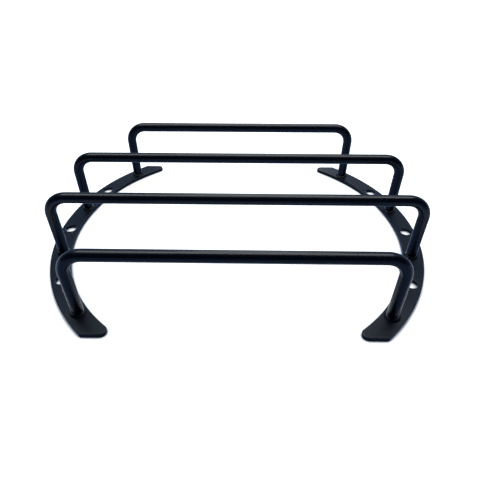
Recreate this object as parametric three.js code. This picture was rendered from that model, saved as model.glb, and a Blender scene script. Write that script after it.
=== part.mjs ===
// A bolt-on carrier rack: four U-shaped hoops of round bar, their feet welded
// to two flat bowed straps that take the bolts.
// Millimetres. X runs along the bars, Y across them towards the back, Z up.
// The origin is the middle of the rack, on the plane of the straps' undersides.
import * as THREE from 'three';

// Overall sizes
const OVERALL_WIDTH = 295; // over the outer edges of both straps, along X
const OVERALL_HEIGHT = 57; // from the straps' undersides to the tops of the bars

// Hoops
const ROD_D = 8;
const HOOP_PITCH = 62; // between neighbouring bars' centre lines
const BEND_R = 14; // of the rod's centre line
const OUTER_FOOT_INSET = 1; // of an outer hoop's feet inside the strap's centre line
const INNER_FOOT_INSET = 2;
const HOOPS = [
  { name: 'front_outer', inset: OUTER_FOOT_INSET },
  { name: 'front_inner', inset: INNER_FOOT_INSET },
  { name: 'rear_inner', inset: INNER_FOOT_INSET },
  { name: 'rear_outer', inset: OUTER_FOOT_INSET },
];

// Straps
const STRAP_WIDTH = 15;
const STRAP_T = 3;
const STRAP_BOW = 54.7; // how far a strap's middle stands out from the line between its ends
const STRAP_OVERHANG = 18; // from an outer hoop's centre line to the strap's cut end
const END_INNER_R = 4; // corner radius at the inner end of each cut
const END_OUTER_R = 1;

// Bolt holes
const BOLT_D = 8;
const BOLT_CLEARANCE = 1;

// Welds
const WELD_LEG = 1.5; // of the fillet, out from the rod and up it
const WELD_CROWN = 0.25; // of the fillet's face above a straight line
const WELD_FIT = 0.05; // left between the weld's bore and the rod

// Facets
const ROD_SIDES = 24;
const BEND_STEPS = 8;
const ARC_SEGMENTS = 16;

// Worked out from the sizes above
const ROD_R = ROD_D / 2;
const BAR_Z = OVERALL_HEIGHT - ROD_R;
const HOOP_SPAN = HOOP_PITCH * (HOOPS.length - 1);
const HOOP_YS = HOOPS.map((hoop, i) => i * HOOP_PITCH - HOOP_SPAN / 2);
const STRAP_END_Y = HOOP_SPAN / 2 + STRAP_OVERHANG;
const STRAP_R = (STRAP_END_Y ** 2 + STRAP_BOW ** 2) / (2 * STRAP_BOW); // centre line
const STRAP_CENTRE_X = OVERALL_WIDTH / 2 - STRAP_WIDTH / 2 - STRAP_R;
const HOLE_R = (BOLT_D + BOLT_CLEARANCE) / 2;
const LARGEST_INSET = Math.max(OUTER_FOOT_INSET, INNER_FOOT_INSET);
const EDGE_ROOM = STRAP_WIDTH / 2 - LARGEST_INSET - ROD_R; // strap left inside a foot
const WELD = Math.min(WELD_LEG, EDGE_ROOM);

const ROD_COAT = { color: 0x1c2128, roughness: 0.42, metalness: 0 };
const STRAP_COAT = { color: 0x20262e, roughness: 0.5, metalness: 0 };
const WELD_COAT = { color: 0x181c22, roughness: 0.48, metalness: 0 };

// X of an arc of this radius about the right strap's centre, at this Y.
function arcX(radius, y) {
  return STRAP_CENTRE_X + Math.sqrt(radius ** 2 - y ** 2);
}

// A hoop's centre line in the XZ plane: up one leg, along the bar, down the other.
// Equal steps of t fall on the ends of the straights and evenly round the bends.
class HoopLine extends THREE.Curve {
  constructor(halfWidth) {
    super();
    this.points = [new THREE.Vector3(-halfWidth, 0, STRAP_T)];
    this.tangents = [new THREE.Vector3(0, 0, 1)];
    this.addBend(-halfWidth + BEND_R, Math.PI);
    this.addBend(halfWidth - BEND_R, Math.PI / 2);
    this.points.push(new THREE.Vector3(halfWidth, 0, STRAP_T));
    this.tangents.push(new THREE.Vector3(0, 0, -1));
  }

  // A quarter turn about (centreX, BAR_Z - BEND_R), clockwise from the angle given.
  addBend(centreX, startAngle) {
    for (let i = 0; i <= BEND_STEPS; i += 1) {
      const angle = startAngle - (i / BEND_STEPS) * (Math.PI / 2);
      const x = centreX + BEND_R * Math.cos(angle);
      const z = BAR_Z - BEND_R + BEND_R * Math.sin(angle);
      this.points.push(new THREE.Vector3(x, 0, z));
      this.tangents.push(new THREE.Vector3(Math.sin(angle), 0, -Math.cos(angle)));
    }
  }

  get steps() {
    return this.points.length - 1;
  }

  getPointAt(t) {
    return this.points[Math.round(t * this.steps)].clone();
  }

  getTangentAt(t) {
    return this.tangents[Math.round(t * this.steps)].clone();
  }
}

function rodSection() {
  const points = [];
  for (let i = 0; i < ROD_SIDES; i += 1) {
    const angle = (i / ROD_SIDES) * 2 * Math.PI;
    points.push(new THREE.Vector2(ROD_R * Math.cos(angle), ROD_R * Math.sin(angle)));
  }
  return new THREE.Shape(points);
}

function hoopGeometry(footX) {
  const line = new HoopLine(footX);
  return new THREE.ExtrudeGeometry(rodSection(), { extrudePath: line, steps: line.steps });
}

// The centre of a corner radius that touches the cut end and an arc of the strap.
function cornerCentre(arcRadius, cornerRadius) {
  const y = STRAP_END_Y - cornerRadius;
  return { x: arcX(arcRadius, y), y, angle: Math.asin(y / arcRadius) };
}

// The right strap seen from above, anticlockwise from the front end of its outer edge.
function strapOutline() {
  const outerR = STRAP_R + STRAP_WIDTH / 2;
  const innerR = STRAP_R - STRAP_WIDTH / 2;
  const outer = cornerCentre(outerR - END_OUTER_R, END_OUTER_R);
  const inner = cornerCentre(innerR + END_INNER_R, END_INNER_R);
  const quarter = Math.PI / 2;
  const outline = new THREE.Shape();
  outline.absarc(STRAP_CENTRE_X, 0, outerR, -outer.angle, outer.angle, false);
  outline.absarc(outer.x, outer.y, END_OUTER_R, outer.angle, quarter, false);
  outline.absarc(inner.x, inner.y, END_INNER_R, quarter, Math.PI + inner.angle, false);
  outline.absarc(STRAP_CENTRE_X, 0, innerR, inner.angle, -inner.angle, true);
  outline.absarc(inner.x, -inner.y, END_INNER_R, Math.PI - inner.angle, 3 * quarter, false);
  outline.absarc(outer.x, -outer.y, END_OUTER_R, -quarter, -outer.angle, false);
  return outline;
}

// One bolt hole halfway between each two neighbouring hoops, on the strap's centre line.
function boltHole(i) {
  const y = (HOOP_YS[i - 1] + HOOP_YS[i]) / 2;
  const hole = new THREE.Path();
  hole.absarc(arcX(STRAP_R, y), y, HOLE_R, 0, 2 * Math.PI, true);
  return hole;
}

function strapGeometry() {
  const outline = strapOutline();
  for (let i = 1; i < HOOPS.length; i += 1) {
    outline.holes.push(boltHole(i));
  }
  const options = { depth: STRAP_T, bevelEnabled: false, curveSegments: ARC_SEGMENTS };
  return new THREE.ExtrudeGeometry(outline, options);
}

// A fillet ring round a foot, standing on the strap.
function weldGeometry() {
  const boreR = ROD_R + WELD_FIT;
  const toeR = ROD_R + WELD;
  const faceMiddle = WELD / 2 + WELD_CROWN;
  const profile = [
    new THREE.Vector2(boreR, 0),
    new THREE.Vector2(toeR, 0),
    new THREE.Vector2(ROD_R + faceMiddle, faceMiddle),
    new THREE.Vector2(boreR, WELD),
    new THREE.Vector2(boreR, 0),
  ];
  return new THREE.LatheGeometry(profile, ROD_SIDES).rotateX(Math.PI / 2);
}

function addPiece(group, name, geometry, coat) {
  const piece = new THREE.Mesh(geometry, new THREE.MeshStandardMaterial(coat));
  piece.name = name;
  group.add(piece);
  return piece;
}

// A hoop and the weld round each of its feet.
function hoopGroup(name, inset, y) {
  const footX = arcX(STRAP_R - inset, y);
  const group = new THREE.Group();
  group.position.y = y;
  addPiece(group, `hoop_${name}`, hoopGeometry(footX), ROD_COAT);
  const leftWeld = addPiece(group, `weld_${name}_left`, weldGeometry(), WELD_COAT);
  leftWeld.position.set(-footX, 0, STRAP_T);
  const rightWeld = addPiece(group, `weld_${name}_right`, weldGeometry(), WELD_COAT);
  rightWeld.position.set(footX, 0, STRAP_T);
  return group;
}

function buildRack() {
  const rack = new THREE.Group();
  const leftStrap = addPiece(rack, 'strap_left', strapGeometry(), STRAP_COAT);
  leftStrap.rotation.z = Math.PI;
  addPiece(rack, 'strap_right', strapGeometry(), STRAP_COAT);
  HOOPS.forEach((hoop, i) => rack.add(hoopGroup(hoop.name, hoop.inset, HOOP_YS[i])));
  return rack;
}

const group = buildRack();

export default group;
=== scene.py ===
"""The finished look of the bolt-on rack: bent round-bar hoops, rolled flat straps,
rippled weld beads and their satin black powder coat."""
import math

import bmesh
import bpy
from mathutils import Matrix, Vector


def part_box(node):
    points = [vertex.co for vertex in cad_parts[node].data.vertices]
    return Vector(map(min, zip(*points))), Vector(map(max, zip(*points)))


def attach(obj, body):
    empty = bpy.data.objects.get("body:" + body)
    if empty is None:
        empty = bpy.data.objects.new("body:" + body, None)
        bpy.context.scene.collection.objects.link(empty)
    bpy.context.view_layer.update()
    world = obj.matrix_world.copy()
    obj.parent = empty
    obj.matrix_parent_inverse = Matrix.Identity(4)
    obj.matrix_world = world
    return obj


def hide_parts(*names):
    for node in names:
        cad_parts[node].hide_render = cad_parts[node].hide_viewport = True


MM = 0.001

# Sizes of the real pieces that the frame's boxes don't give
BEND_R = 14 * MM  # of a rod's centre line
STRAP_WIDTH = 15 * MM
STRAP_BOW = 54.7 * MM
END_INNER_R = 4 * MM
END_OUTER_R = 1 * MM
HOLE_R = 4.5 * MM
EDGE_R = 0.6 * MM  # of the straps' rounded long edges and ends
LIP_R = 0.45 * MM  # of the rounded lips of the bolt holes
HOOPS = ("front_outer", "front_inner", "rear_inner", "rear_outer")

# How finely the surfaces are divided
ROD_SIDES = 64
BEND_STEPS = 28
BAR_STEPS = 60
LEG_STEPS = 10
ACROSS = 10  # quads across a strap
HOLE_RINGS = 5
HOLE_SPREAD = 0.8  # below 1, the rings are closer together near the hole
END_ROWS = 14
CORNER_ROWS = 6
CUT_INNER_STEPS = 4  # of a strap's cut end, on its inner and its outer corner
CUT_OUTER_STEPS = 2
ROUND_STEPS = 5  # quads round a strap's edge
SAME_SPOT = 0.005 * MM  # vertices closer than this are one

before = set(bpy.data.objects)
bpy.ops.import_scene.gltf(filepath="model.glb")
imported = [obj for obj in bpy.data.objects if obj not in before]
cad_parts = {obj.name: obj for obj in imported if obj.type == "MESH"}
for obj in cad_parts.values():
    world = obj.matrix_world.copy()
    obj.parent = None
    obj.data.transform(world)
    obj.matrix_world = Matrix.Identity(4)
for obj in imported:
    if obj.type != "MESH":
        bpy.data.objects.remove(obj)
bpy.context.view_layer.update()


def make_object(name, mesh_builder, material):
    """A smooth-shaded object from a bmesh, riding on the one rigid body."""
    mesh = bpy.data.meshes.new(name)
    mesh_builder.to_mesh(mesh)
    mesh_builder.free()
    mesh.polygons.foreach_set("use_smooth", [True] * len(mesh.polygons))
    mesh.materials.append(material)
    piece = bpy.data.objects.new(name, mesh)
    bpy.context.scene.collection.objects.link(piece)
    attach(piece, "root")
    return piece


# ---------------------------------------------------------------- powder coat


COAT_IOR = 1.45
SHEEN_ROUGHNESS = 0.25
CLOUD_SCALE = 38.0  # of the slow changes of gloss, in cells to the metre
FLECK_SCALE = 2600.0
GRAIN_SCALE = 4200.0
NOISE_LOW, NOISE_HIGH = 0.3, 0.7  # the stretch of a noise that is spread out
LESS_ROUGH, MORE_ROUGH = 0.03, 0.04
FLECK_DARK, FLECK_PALE = 0.82, 1.22
PEEL_BUMP = 0.1 * MM
GRAIN_BUMP = 0.03 * MM
GRAIN_STRENGTH = 0.12


def powder_coat(name, colour, roughness, peel_mm, peel_depth, sheen, sheen_tint):
    """Satin black powder coat: a dark, faintly blue base with orange peel, a finer
    grain on top of it and slow changes of gloss."""
    material = bpy.data.materials.new(name)
    material.use_nodes = True
    nodes, links = material.node_tree.nodes, material.node_tree.links
    shader = nodes["Principled BSDF"]
    shader.inputs["Metallic"].default_value = 0.0
    shader.inputs["IOR"].default_value = COAT_IOR
    shader.inputs["Sheen Weight"].default_value = sheen
    shader.inputs["Sheen Roughness"].default_value = SHEEN_ROUGHNESS
    shader.inputs["Sheen Tint"].default_value = (*sheen_tint, 1.0)
    coords = nodes.new("ShaderNodeTexCoord")

    def noise(scale, detail):
        node = nodes.new("ShaderNodeTexNoise")
        node.inputs["Scale"].default_value = scale
        node.inputs["Detail"].default_value = detail
        links.new(coords.outputs["Object"], node.inputs["Vector"])
        return node.outputs["Fac"]

    def spread(source, low, high):
        node = nodes.new("ShaderNodeMapRange")
        node.inputs["From Min"].default_value = NOISE_LOW
        node.inputs["From Max"].default_value = NOISE_HIGH
        node.inputs["To Min"].default_value = low
        node.inputs["To Max"].default_value = high
        links.new(source, node.inputs["Value"])
        return node.outputs["Result"]

    def bump(height, strength, distance):
        node = nodes.new("ShaderNodeBump")
        node.inputs["Strength"].default_value = strength
        node.inputs["Distance"].default_value = distance
        links.new(height, node.inputs["Height"])
        return node

    gloss = spread(noise(CLOUD_SCALE, 3.0), roughness - LESS_ROUGH, roughness + MORE_ROUGH)
    links.new(gloss, shader.inputs["Roughness"])

    tint = nodes.new("ShaderNodeMix")
    tint.data_type = "RGBA"
    tint.inputs["A"].default_value = (*[c * FLECK_DARK for c in colour], 1.0)
    tint.inputs["B"].default_value = (*[c * FLECK_PALE for c in colour], 1.0)
    links.new(spread(noise(FLECK_SCALE, 2.0), 0.0, 1.0), tint.inputs["Factor"])
    links.new(tint.outputs["Result"], shader.inputs["Base Color"])

    peel_bump = bump(noise(1.0 / (peel_mm * MM), 2.0), peel_depth, PEEL_BUMP)
    grain_bump = bump(noise(GRAIN_SCALE, 2.0), GRAIN_STRENGTH, GRAIN_BUMP)
    links.new(peel_bump.outputs["Normal"], grain_bump.inputs["Normal"])
    links.new(grain_bump.outputs["Normal"], shader.inputs["Normal"])
    return material


# ---------------------------------------------------------------- hoops


def hoop_centre_line(half_width, bar_z, foot_z):
    """Points and directions up one leg, round two bends and along the bar between."""
    line = []
    leg_top = bar_z - BEND_R
    for i in range(LEG_STEPS):
        line.append((-half_width, foot_z + (leg_top - foot_z) * i / LEG_STEPS, math.pi / 2))
    for i in range(BEND_STEPS):
        turn = math.pi / 2 * i / BEND_STEPS
        x = -half_width + BEND_R * (1 - math.cos(turn))
        line.append((x, leg_top + BEND_R * math.sin(turn), math.pi / 2 - turn))
    bar_half = half_width - BEND_R
    for i in range(BAR_STEPS // 2):
        line.append((-bar_half + bar_half * i / (BAR_STEPS // 2), bar_z, 0.0))
    mirrored = [(-x, z, -angle) for x, z, angle in reversed(line)]
    return line + [(0.0, bar_z, 0.0)] + mirrored


def sweep_rod(builder, line, y, radius):
    """A closed rod of round section along a line in the XZ plane."""
    rings = []
    for x, z, angle in line:
        up = Vector((-math.sin(angle), 0.0, math.cos(angle)))
        ring = []
        for i in range(ROD_SIDES):
            turn = 2 * math.pi * i / ROD_SIDES
            spot = Vector((x, y, z)) + radius * math.cos(turn) * up
            spot.y += radius * math.sin(turn)
            ring.append(builder.verts.new(spot))
        rings.append(ring)
    join_rings(builder, rings, closed=True)
    builder.faces.new(rings[0])
    builder.faces.new(reversed(rings[-1]))


def join_rings(builder, rings, closed):
    """Quads between neighbouring rings of vertices, each ring closed or open."""
    for low, high in zip(rings, rings[1:]):
        count = len(low)
        for i in range(count if closed else count - 1):
            j = (i + 1) % count
            builder.faces.new((low[i], high[i], high[j], low[j]))


def build_hoop(name, material):
    node = f"hoop_{name}"
    low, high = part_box(node)
    radius = (high[1] - low[1]) / 2
    y = (high[1] + low[1]) / 2
    line = hoop_centre_line(high[0] - radius, high[2] - radius, low[2])
    builder = bmesh.new()
    sweep_rod(builder, line, y, radius)
    bmesh.ops.recalc_face_normals(builder, faces=builder.faces)
    piece = make_object(f"bent_bar_{name}", builder, material)
    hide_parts(node)
    return piece


# ---------------------------------------------------------------- straps


class StrapPlan:
    """The right strap's flat top in plan: arcs about one centre, cut off straight at
    both ends, all kept back by the radius of the rounded edges."""

    def __init__(self):
        low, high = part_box("strap_right")
        self.top = high[2]
        self.bottom = low[2]
        self.radius = (high[1] ** 2 + STRAP_BOW ** 2) / (2 * STRAP_BOW)
        self.centre_x = high[0] - STRAP_WIDTH / 2 - self.radius
        self.width = STRAP_WIDTH - 2 * EDGE_R
        self.outer = self.radius + self.width / 2
        self.inner = self.radius - self.width / 2
        self.end_y = high[1] - EDGE_R
        self.inner_corner = END_INNER_R - EDGE_R
        self.outer_corner = END_OUTER_R - EDGE_R

    def polar(self, radius, angle):
        return Vector((self.centre_x + radius * math.cos(angle), radius * math.sin(angle)))

    def corner(self, arc_radius, corner_radius):
        """Centre of a corner radius, and its angle seen from the strap's centre."""
        y = self.end_y - corner_radius
        angle = math.asin(y / arc_radius)
        return Vector((self.centre_x + arc_radius * math.cos(angle), y)), angle

    def hole_angles(self):
        """One hole halfway between each two neighbouring hoops."""
        ys = []
        for name in HOOPS:
            low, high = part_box(f"hoop_{name}")
            ys.append((low[1] + high[1]) / 2)
        return [math.asin((a + b) / 2 / self.radius) for a, b in zip(ys, ys[1:])]


def arc_points(centre, radius, start, end, count):
    """count + 1 points from start to end on an arc."""
    points = []
    for i in range(count + 1):
        angle = start + (end - start) * i / count
        points.append(centre + radius * Vector((math.cos(angle), math.sin(angle))))
    return points


def coons(south, north, west, east):
    """A grid of points between four sides; south and north run from west to east."""
    columns, rows = len(south) - 1, len(west) - 1
    grid = []
    for j in range(rows + 1):
        v = j / rows
        row = []
        for i in range(columns + 1):
            u = i / columns
            across = south[i] * (1 - v) + north[i] * v
            along = west[j] * (1 - u) + east[j] * u
            low = south[0] * (1 - u) + south[-1] * u
            high = north[0] * (1 - u) + north[-1] * u
            row.append(across + along - low * (1 - v) - high * v)
        grid.append(row)
    return grid


def arc_grid(plan, start, end):
    """The strap's plan between two angles."""
    count = max(2, round((end - start) * plan.radius / (plan.width / ACROSS)))
    grid = []
    for j in range(ACROSS + 1):
        radius = plan.inner + plan.width * j / ACROSS
        row = []
        for i in range(count + 1):
            row.append(plan.polar(radius, start + (end - start) * i / count))
        grid.append(row)
    return grid


def hole_patch(plan, angle):
    """Rings from a four-sided frame of the strap's plan in to a round hole."""
    half = plan.width / 2 / plan.radius
    start, end = angle - half, angle + half
    frame_spots = []
    for i in range(ACROSS):
        frame_spots.append(plan.polar(plan.inner + plan.width * i / ACROSS, start))
    for i in range(ACROSS):
        frame_spots.append(plan.polar(plan.outer, start + (end - start) * i / ACROSS))
    for i in range(ACROSS):
        frame_spots.append(plan.polar(plan.outer - plan.width * i / ACROSS, end))
    for i in range(ACROSS):
        frame_spots.append(plan.polar(plan.inner, end + (start - end) * i / ACROSS))
    centre = plan.polar(plan.radius, angle)
    first = angle - 3 * math.pi / 4
    rings = []
    for k in range(HOLE_RINGS + 1):
        share = (k / HOLE_RINGS) ** HOLE_SPREAD
        ring = []
        for i, spot in enumerate(frame_spots):
            turn = first + 2 * math.pi * i / len(frame_spots)
            lip = centre + (HOLE_R + LIP_R) * Vector((math.cos(turn), math.sin(turn)))
            ring.append(spot.lerp(lip, share))
        rings.append(ring + ring[:1])
    return rings


def end_patch(plan, start):
    """The strap's rear end from an angle to the cut, corners included."""
    quarter = math.pi / 2
    outer_r, inner_r = plan.outer_corner, plan.inner_corner
    outer_at, outer_angle = plan.corner(plan.outer - outer_r, outer_r)
    inner_at, inner_angle = plan.corner(plan.inner + inner_r, inner_r)
    centre = Vector((plan.centre_x, 0.0))
    outer_mid = (outer_angle + quarter) / 2
    inner_mid = (quarter + math.pi + inner_angle) / 2
    corner_start = math.pi + inner_angle
    inner_side = arc_points(centre, plan.inner, start, inner_angle, END_ROWS)
    inner_side += arc_points(inner_at, inner_r, corner_start, inner_mid, CORNER_ROWS)[1:]
    outer_rows = END_ROWS + CORNER_ROWS - CUT_OUTER_STEPS
    outer_side = arc_points(centre, plan.outer, start, outer_angle, outer_rows)
    outer_side += arc_points(outer_at, outer_r, outer_angle, outer_mid, CUT_OUTER_STEPS)[1:]
    cut = arc_points(inner_at, inner_r, inner_mid, quarter, CUT_INNER_STEPS)
    cut_start = cut[-1]
    cut_end = outer_at + Vector((0.0, outer_r))
    straight = ACROSS - CUT_INNER_STEPS - CUT_OUTER_STEPS
    for i in range(1, straight):
        cut.append(cut_start.lerp(cut_end, i / straight))
    cut += arc_points(outer_at, outer_r, quarter, outer_mid, CUT_OUTER_STEPS)
    base = []
    for i in range(ACROSS + 1):
        base.append(plan.polar(plan.inner + plan.width * i / ACROSS, start))
    return coons(inner_side, outer_side, base, cut)


def strap_quads(plan):
    """The whole plan as quads of 2D points: arcs, a patch round each hole, two ends."""
    half = plan.width / 2 / plan.radius
    angles = plan.hole_angles()
    grids = [hole_patch(plan, angle) for angle in angles]
    grids += [arc_grid(plan, a + half, b - half) for a, b in zip(angles, angles[1:])]
    rear = end_patch(plan, angles[-1] + half)
    front = [[Vector((spot.x, -spot.y)) for spot in row] for row in rear]
    quads = []
    for grid in grids + [rear, front]:
        for low, high in zip(grid, grid[1:]):
            for i in range(len(low) - 1):
                quads.append((low[i], low[i + 1], high[i + 1], high[i]))
    return quads


def build_strap_mesh(plan):
    """Both faces from the plan's quads, joined by rounded edges and walls."""
    builder = bmesh.new()
    for quad in strap_quads(plan):
        builder.faces.new([builder.verts.new((p.x, p.y, plan.top)) for p in quad])
    bmesh.ops.remove_doubles(builder, verts=builder.verts, dist=SAME_SPOT)
    bmesh.ops.recalc_face_normals(builder, faces=builder.faces)
    top_faces = list(builder.faces)
    rims = [(rim, rim_normals(rim)) for rim in boundary_loops(builder)]
    bottom_of = {}
    for vert in list(builder.verts):
        bottom_of[vert] = builder.verts.new((vert.co.x, vert.co.y, plan.bottom))
    for face in top_faces:
        builder.faces.new([bottom_of[v] for v in reversed(face.verts)])
    longest_lip = 1.1 * 2 * math.pi * (HOLE_R + LIP_R)
    for rim, outward in rims:
        edge = LIP_R if loop_length(rim) < longest_lip else EDGE_R
        add_wall(builder, plan, rim, outward, edge, bottom_of)
    bmesh.ops.recalc_face_normals(builder, faces=builder.faces)
    return builder


def boundary_loops(builder):
    """The open edges of a flat mesh as ordered loops of vertices."""
    open_edges = {e for e in builder.edges if e.is_boundary}
    loops = []
    while open_edges:
        edge = next(iter(open_edges))
        open_edges.remove(edge)
        loop = [edge.verts[0], edge.verts[1]]
        while loop[-1] is not loop[0]:
            step = next(e for e in loop[-1].link_edges if e in open_edges)
            open_edges.remove(step)
            loop.append(step.other_vert(loop[-1]))
        loops.append(loop[:-1])
    return loops


def loop_length(loop):
    spots = [v.co for v in loop]
    return sum((a - b).length for a, b in zip(spots, spots[1:] + spots[:1]))


def rim_normals(rim):
    """For each vertex of a rim, the direction in the plane away from the metal."""
    normals = []
    for i, vert in enumerate(rim):
        before, after = rim[i - 1].co, rim[(i + 1) % len(rim)].co
        along = (after - before).normalized()
        side = Vector((along.y, -along.x, 0.0))
        inside = sum((f.calc_center_median() for f in vert.link_faces), Vector())
        inside = inside / len(vert.link_faces) - vert.co
        normals.append(side if side.dot(inside) < 0 else -side)
    return normals


def add_wall(builder, plan, rim, outward, edge, bottom_of):
    """Joins the rims of both faces by a wall with rounded edges."""
    levels = []
    for step in range(1, ROUND_STEPS + 1):
        turn = math.pi / 2 * step / ROUND_STEPS
        levels.append((edge * math.sin(turn), plan.top - edge * (1 - math.cos(turn))))
    levels += [(push, plan.top + plan.bottom - z) for push, z in reversed(levels)]
    rings = [rim]
    for push, z in levels:
        ring = []
        for vert, away in zip(rim, outward):
            place = vert.co + away * push
            ring.append(builder.verts.new((place.x, place.y, z)))
        rings.append(ring)
    rings.append([bottom_of[v] for v in rim])
    join_rings(builder, rings, closed=True)


def build_strap(side, material):
    plan = StrapPlan()
    builder = build_strap_mesh(plan)
    if side == "left":
        turn = Matrix.Rotation(math.pi, 4, "Z")
        bmesh.ops.transform(builder, matrix=turn, verts=builder.verts)
    piece = make_object(f"rolled_strap_{side}", builder, material)
    piece.modifiers.new("flat faces stay flat", "WEIGHTED_NORMAL")
    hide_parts(f"strap_{side}")
    return piece


# ---------------------------------------------------------------- welds

WELD_AROUND = 144
WELD_ACROSS = 12
WELD_SUNK = 0.05 * MM  # how far a bead goes into the metal under it
WELD_CROWN = 0.04  # of its leg
WIDE_WANDER, SHORT_WANDER = 0.05, 0.03  # of its leg, once and three times a turn
RIPPLES = 21
RIPPLE_DEPTH = 0.08 * MM
RIPPLE_LAG = 1.6  # how far the middle of a ripple trails, in radians of its wave
RIPPLE_REST = 0.6  # the height of the wave that counts as no ripple


def weld_section(rod_r, leg, turn):
    """Radius and height of the points round a bead's section at one turn."""
    section = []
    for j in range(WELD_ACROSS + 1):
        v = j / WELD_ACROSS
        arch = math.sin(math.pi * v)
        wave = abs(math.cos(RIPPLES * turn + RIPPLE_LAG * arch))
        bulge = (WELD_CROWN * leg + RIPPLE_DEPTH * (wave - RIPPLE_REST)) * arch
        both_ways = bulge * math.sqrt(0.5)
        section.append((rod_r + leg * (1 - v) + both_ways, leg * v + both_ways))
    section.append((rod_r - WELD_SUNK, leg))
    section.append((rod_r - WELD_SUNK, -WELD_SUNK))
    section.append((rod_r + leg, -WELD_SUNK))
    return section


def build_weld(name, side, material, phase):
    """A hand-laid fillet bead round a foot: scalloped, and a little uneven."""
    node = f"weld_{name}_{side}"
    low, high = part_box(node)
    hoop_low, hoop_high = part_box(f"hoop_{name}")
    rod_r = (hoop_high[1] - hoop_low[1]) / 2
    centre = Vector(((low[0] + high[0]) / 2, (low[1] + high[1]) / 2, low[2]))
    mean_leg = (high[1] - low[1]) / 2 - rod_r
    builder = bmesh.new()
    rings = []
    for i in range(WELD_AROUND):
        turn = 2 * math.pi * i / WELD_AROUND
        wander = WIDE_WANDER * math.sin(turn + phase)
        wander += SHORT_WANDER * math.sin(3 * turn + 2 * phase)
        verts = []
        for radius, z in weld_section(rod_r, mean_leg * (1 + wander), turn):
            spot = (radius * math.cos(turn), radius * math.sin(turn), z)
            verts.append(builder.verts.new(centre + Vector(spot)))
        rings.append(verts)
    rings.append(rings[0])
    join_rings(builder, rings, closed=True)
    bmesh.ops.recalc_face_normals(builder, faces=builder.faces)
    piece = make_object(f"weld_bead_{name}_{side}", builder, material)
    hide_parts(node)
    return piece


# ---------------------------------------------------------------- studio

CAMERA_TARGET = Vector((2.95, -48.0, 30.0)) * MM
CAMERA_DISTANCE = 287 * MM
CAMERA_AZIMUTH = math.radians(0.95)
CAMERA_ELEVATION = math.radians(38.3)
CAMERA_LENS_MM = 30.6
SENSOR_MM = 36.0
PANEL_COLOUR = (0.92, 0.96, 1.0)
FLOOR_HALF = 4.0
FLOOR_PAINT = (0.88, 0.88, 0.88, 1.0)
FLOOR_ROUGHNESS = 0.9
FLOOR_LIFT = 0.85  # light that the camera sees on the floor besides the panels'
# Painted shade: the floor's lift fades out where ambient occlusion finds metal close over
# the floor. It is dark in the bolt holes and a thin line along the straps' edges.
COVER_REACH = 12 * MM
COVER_DARK, COVER_CLEAR = 0.52, 0.85  # open share of the sky over the floor
SURROUND = 1.1  # how bright the camera sees the surround
ROOM_IN_FRONT = (0.010, 0.020, 0.055, 1.0)
ROOM_BEHIND = (0.14, 0.22, 0.34, 1.0)
BEHIND_FROM, BEHIND_TO = 0.0, 0.6  # of a direction's Y
# Painted shade and painted light on the ground that the coat reflects: dim and blue all
# over, with a band of painted light beside the front legs
GROUND_PAINTED_SHADE = (0.21, 0.33, 0.58, 1.0)
GROUND_PAINTED_LIGHT = (0.95, 0.95, 0.95, 1.0)
PAINTED_LIGHT_FROM, PAINTED_LIGHT_TO = -98 * MM, -82 * MM  # the lit band of ground beside the front legs
PAINTED_LIGHT_BLEND = 14 * MM
WHITE = (1.0, 1.0, 1.0, 1.0)


def add_camera():
    data = bpy.data.cameras.new("camera")
    data.lens = CAMERA_LENS_MM
    data.sensor_width = SENSOR_MM
    data.clip_start = 0.01
    camera = bpy.data.objects.new("camera", data)
    flat = CAMERA_DISTANCE * math.cos(CAMERA_ELEVATION)
    offset = Vector((
        flat * math.sin(CAMERA_AZIMUTH),
        -flat * math.cos(CAMERA_AZIMUTH),
        CAMERA_DISTANCE * math.sin(CAMERA_ELEVATION),
    ))
    camera.location = CAMERA_TARGET + offset
    camera.rotation_euler = (-offset).to_track_quat("-Z", "Y").to_euler()
    bpy.context.scene.collection.objects.link(camera)
    bpy.context.scene.camera = camera


def add_panel(name, centre, target, width, height, watts):
    """A rectangular soft light that faces a point."""
    data = bpy.data.lights.new(name, "AREA")
    data.shape = "RECTANGLE"
    data.size = width
    data.size_y = height
    data.energy = watts
    data.color = PANEL_COLOUR
    panel = bpy.data.objects.new(name, data)
    panel.location = centre
    facing = (Vector(target) - Vector(centre)).to_track_quat("-Z", "Y")
    panel.rotation_euler = facing.to_euler()
    bpy.context.scene.collection.objects.link(panel)


def ground_painted_shade_and_light(nodes, links):
    """What the coat sees of the ground: painted shade, dim and blue, with one band of
    painted light across it beside the front legs.
    """
    place = nodes.new("ShaderNodeNewGeometry")
    split = nodes.new("ShaderNodeSeparateXYZ")
    links.new(place.outputs["Position"], split.inputs["Vector"])

    def step(low, high, before, after):
        node = nodes.new("ShaderNodeMapRange")
        node.interpolation_type = "SMOOTHSTEP"
        node.inputs["From Min"].default_value = low
        node.inputs["From Max"].default_value = high
        node.inputs["To Min"].default_value = before
        node.inputs["To Max"].default_value = after
        links.new(split.outputs["Y"], node.inputs["Value"])
        return node.outputs["Result"]

    # Painted light: a band of brighter ground beside the front legs
    painted_light_band = nodes.new("ShaderNodeMath")
    painted_light_band.operation = "MULTIPLY"
    links.new(step(PAINTED_LIGHT_FROM - PAINTED_LIGHT_BLEND, PAINTED_LIGHT_FROM, 0.0, 1.0), painted_light_band.inputs[0])
    links.new(step(PAINTED_LIGHT_TO, PAINTED_LIGHT_TO + PAINTED_LIGHT_BLEND, 1.0, 0.0), painted_light_band.inputs[1])
    mix = nodes.new("ShaderNodeMix")
    mix.data_type = "RGBA"
    mix.inputs["A"].default_value = GROUND_PAINTED_SHADE
    mix.inputs["B"].default_value = GROUND_PAINTED_LIGHT
    links.new(painted_light_band.outputs["Value"], mix.inputs["Factor"])
    return mix.outputs["Result"]


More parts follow.
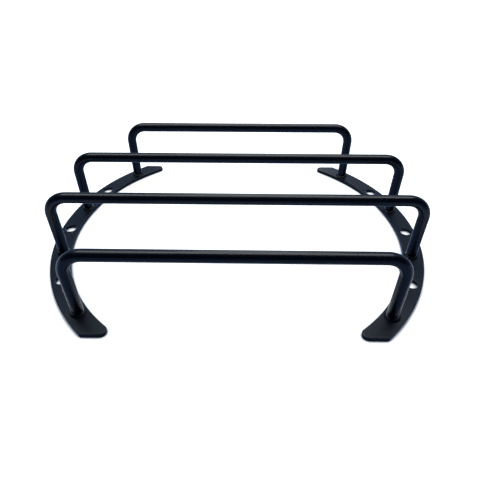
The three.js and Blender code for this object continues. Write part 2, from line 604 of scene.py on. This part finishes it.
def floor_lift_with_painted_shade(nodes, links):
    """The floor's lift, taken away as painted shade where the metal stands close over it,
    as in a hole.
    """
    cover = nodes.new("ShaderNodeAmbientOcclusion")
    cover.samples = 16
    cover.inputs["Distance"].default_value = COVER_REACH
    lift = nodes.new("ShaderNodeMapRange")
    lift.inputs["From Min"].default_value = COVER_DARK
    lift.inputs["From Max"].default_value = COVER_CLEAR
    lift.inputs["To Min"].default_value = 0.0
    lift.inputs["To Max"].default_value = FLOOR_LIFT
    links.new(cover.outputs["AO"], lift.inputs["Value"])
    return lift.outputs["Result"]


def add_floor():
    """A pale floor, evenly lit but for painted shade where the metal stands close over it.
    The coat sees it instead as a ground in painted shade, dimmer and bluer, with a band of
    painted light.
    """
    builder = bmesh.new()
    bmesh.ops.create_grid(builder, x_segments=8, y_segments=8, size=FLOOR_HALF)
    mesh = bpy.data.meshes.new("floor")
    builder.to_mesh(mesh)
    builder.free()
    material = bpy.data.materials.new("floor paint")
    material.use_nodes = True
    nodes, links = material.node_tree.nodes, material.node_tree.links
    pale = nodes["Principled BSDF"]
    pale.inputs["Base Color"].default_value = FLOOR_PAINT
    pale.inputs["Roughness"].default_value = FLOOR_ROUGHNESS
    pale.inputs["Specular IOR Level"].default_value = 0.0
    pale.inputs["Emission Color"].default_value = WHITE
    # The emission lift, darkened into painted shade where the metal covers the floor
    links.new(floor_lift_with_painted_shade(nodes, links), pale.inputs["Emission Strength"])
    ground = nodes.new("ShaderNodeBsdfDiffuse")
    links.new(ground_painted_shade_and_light(nodes, links), ground.inputs["Color"])
    # The camera sees the pale floor. Every other ray sees the ground in painted shade and
    # painted light.
    path = nodes.new("ShaderNodeLightPath")
    mix = nodes.new("ShaderNodeMixShader")
    links.new(path.outputs["Is Camera Ray"], mix.inputs["Fac"])
    links.new(ground.outputs["BSDF"], mix.inputs[1])
    links.new(pale.outputs["BSDF"], mix.inputs[2])
    links.new(mix.outputs["Shader"], nodes["Material Output"].inputs["Surface"])
    mesh.materials.append(material)
    floor = bpy.data.objects.new("floor", mesh)
    bpy.context.scene.collection.objects.link(floor)


def add_world():
    """A white surround as the camera sees it. For everything else it is dim: dark in
    front of the rack and a soft blue behind it."""
    world = bpy.data.worlds.new("studio")
    bpy.context.scene.world = world
    world.use_nodes = True
    nodes, links = world.node_tree.nodes, world.node_tree.links
    nodes.clear()
    seen = nodes.new("ShaderNodeBackground")
    seen.inputs["Color"].default_value = WHITE
    seen.inputs["Strength"].default_value = SURROUND
    coords = nodes.new("ShaderNodeTexCoord")
    split = nodes.new("ShaderNodeSeparateXYZ")
    links.new(coords.outputs["Generated"], split.inputs["Vector"])
    behind = nodes.new("ShaderNodeMapRange")
    behind.interpolation_type = "SMOOTHSTEP"
    behind.inputs["From Min"].default_value = BEHIND_FROM
    behind.inputs["From Max"].default_value = BEHIND_TO
    links.new(split.outputs["Y"], behind.inputs["Value"])
    room = nodes.new("ShaderNodeMix")
    room.data_type = "RGBA"
    room.inputs["A"].default_value = ROOM_IN_FRONT
    room.inputs["B"].default_value = ROOM_BEHIND
    links.new(behind.outputs["Result"], room.inputs["Factor"])
    dim = nodes.new("ShaderNodeBackground")
    links.new(room.outputs["Result"], dim.inputs["Color"])
    path = nodes.new("ShaderNodeLightPath")
    mix = nodes.new("ShaderNodeMixShader")
    out = nodes.new("ShaderNodeOutputWorld")
    links.new(path.outputs["Is Camera Ray"], mix.inputs["Fac"])
    links.new(dim.outputs["Background"], mix.inputs[1])
    links.new(seen.outputs["Background"], mix.inputs[2])
    links.new(mix.outputs["Shader"], out.inputs["Surface"])


def build_studio():
    bpy.context.scene.view_settings.view_transform = "Standard"
    add_camera()
    add_floor()
    add_world()
    add_panel(
        "overhead panel",
        centre=(0.0, 0.25, 1.2),
        target=(0.0, 0.25, 0.03),
        width=1.7,
        height=0.70,
        watts=12.8,
    )
    add_panel(
        "rear panel",
        centre=(0.05, 1.25, 1.10),
        target=(0.0, 0.0, 0.03),
        width=0.65,
        height=1.35,
        watts=5.0,
    )


def build_rack():
    rod_coat = powder_coat(
        "rod coat",
        colour=(0.0006, 0.0014, 0.0045),
        roughness=0.26,
        peel_mm=1.1,
        peel_depth=0.6,
        sheen=1.0,
        sheen_tint=(1.0, 0.98, 0.96),
    )
    strap_coat = powder_coat(
        "strap coat",
        colour=(0.0010, 0.0024, 0.0085),
        roughness=0.32,
        peel_mm=1.2,
        peel_depth=0.8,
        sheen=1.0,
        sheen_tint=(0.72, 0.9, 1.0),
    )
    weld_coat = powder_coat(
        "weld coat",
        colour=(0.0008, 0.0012, 0.0030),
        roughness=0.45,
        peel_mm=0.9,
        peel_depth=0.6,
        sheen=0.15,
        sheen_tint=(0.85, 0.94, 1.0),
    )
    for name in HOOPS:
        build_hoop(name, rod_coat)
    for side in ("left", "right"):
        build_strap(side, strap_coat)
    phase = 0
    for name in HOOPS:
        for side in ("left", "right"):
            build_weld(name, side, weld_coat, phase)
            phase += 1


build_studio()
build_rack()
